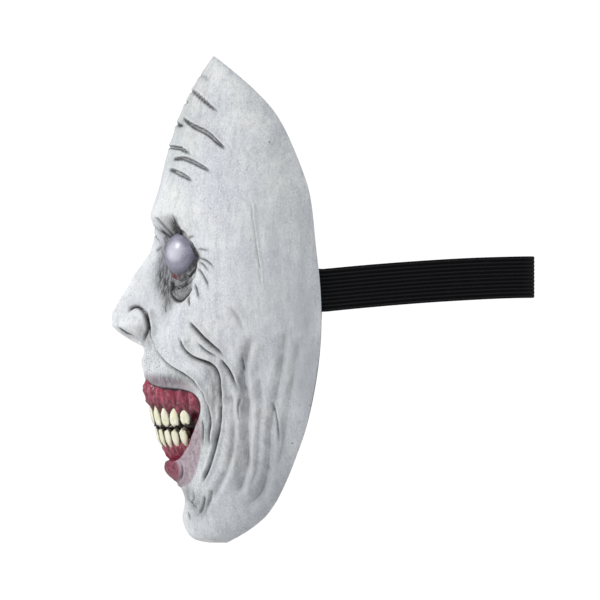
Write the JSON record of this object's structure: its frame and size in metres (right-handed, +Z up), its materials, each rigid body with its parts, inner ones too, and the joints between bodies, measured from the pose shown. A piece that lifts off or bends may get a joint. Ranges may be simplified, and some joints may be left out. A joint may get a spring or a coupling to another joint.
{
  "type": "latex halloween mask",
  "caption": "Half-face ghoul mask of cast latex with bulging blank eyes, a wide toothy grin and folded cheeks, worn on a ribbed elastic strap around the back of the head.",
  "frame": {"origin": "mid-plane of the mask, midway between the two strap anchors, at the rim's rearmost line and the anchors' height", "axes": "+X to the wearer's left, the face looks along -Y, +Z up to the crown"},
  "size_m": [0.186, 0.2532, 0.292],
  "materials": {
    "painted_latex": "matt airbrushed grey-white latex skin",
    "raw_latex": "unpainted cream latex",
    "gum": "satin crimson painted latex",
    "tooth": "satin ivory paint",
    "eye": "clear gloss over pearl lavender",
    "elastic_webbing": "black ribbed elastic"
  },
  "bodies": {
    "mask": {"eye_dome_left": "eye", "eye_dome_right": "eye", "face_shell": "painted_latex", "lower_gum": "gum", "lower_tooth_left_1": "tooth", "lower_tooth_left_2": "tooth", "lower_tooth_left_3": "tooth", "lower_tooth_left_4": "tooth", "lower_tooth_left_5": "tooth", "lower_tooth_right_1": "tooth", "lower_tooth_right_2": "tooth", "lower_tooth_right_3": "tooth", "lower_tooth_right_4": "tooth", "lower_tooth_right_5": "tooth", "strap_end_left": "elastic_webbing", "strap_end_right": "elastic_webbing", "strap_patch_left": "raw_latex", "strap_patch_right": "raw_latex", "upper_gum": "gum", "upper_tooth_left_1": "tooth", "upper_tooth_left_2": "tooth", "upper_tooth_left_3": "tooth", "upper_tooth_left_4": "tooth", "upper_tooth_left_5": "tooth", "upper_tooth_right_1": "tooth", "upper_tooth_right_2": "tooth", "upper_tooth_right_3": "tooth", "upper_tooth_right_4": "tooth", "upper_tooth_right_5": "tooth"},
    "strap_loop": {"strap_side_left": "elastic_webbing", "strap_side_right": "elastic_webbing"},
    "strap_rear": {"strap_back": "elastic_webbing"}
  },
  "joints": [
    {"name": "strap_swing", "type": "hinge", "parent": "mask", "child": "strap_loop", "pos_m": [0, 0, 0], "axis": [1, 0, 0], "range_deg": [-35, 45], "stiffness_Nm_per_rad": 0.25, "deforming": ["strap_side_left", "strap_side_right"]},
    {"name": "strap_stretch", "type": "slide", "parent": "strap_loop", "child": "strap_rear", "axis": [0, 1, 0], "range_m": [0, 0.06], "stiffness_N_per_m": 120, "deforming": ["strap_side_left", "strap_side_right"]}
  ]
}
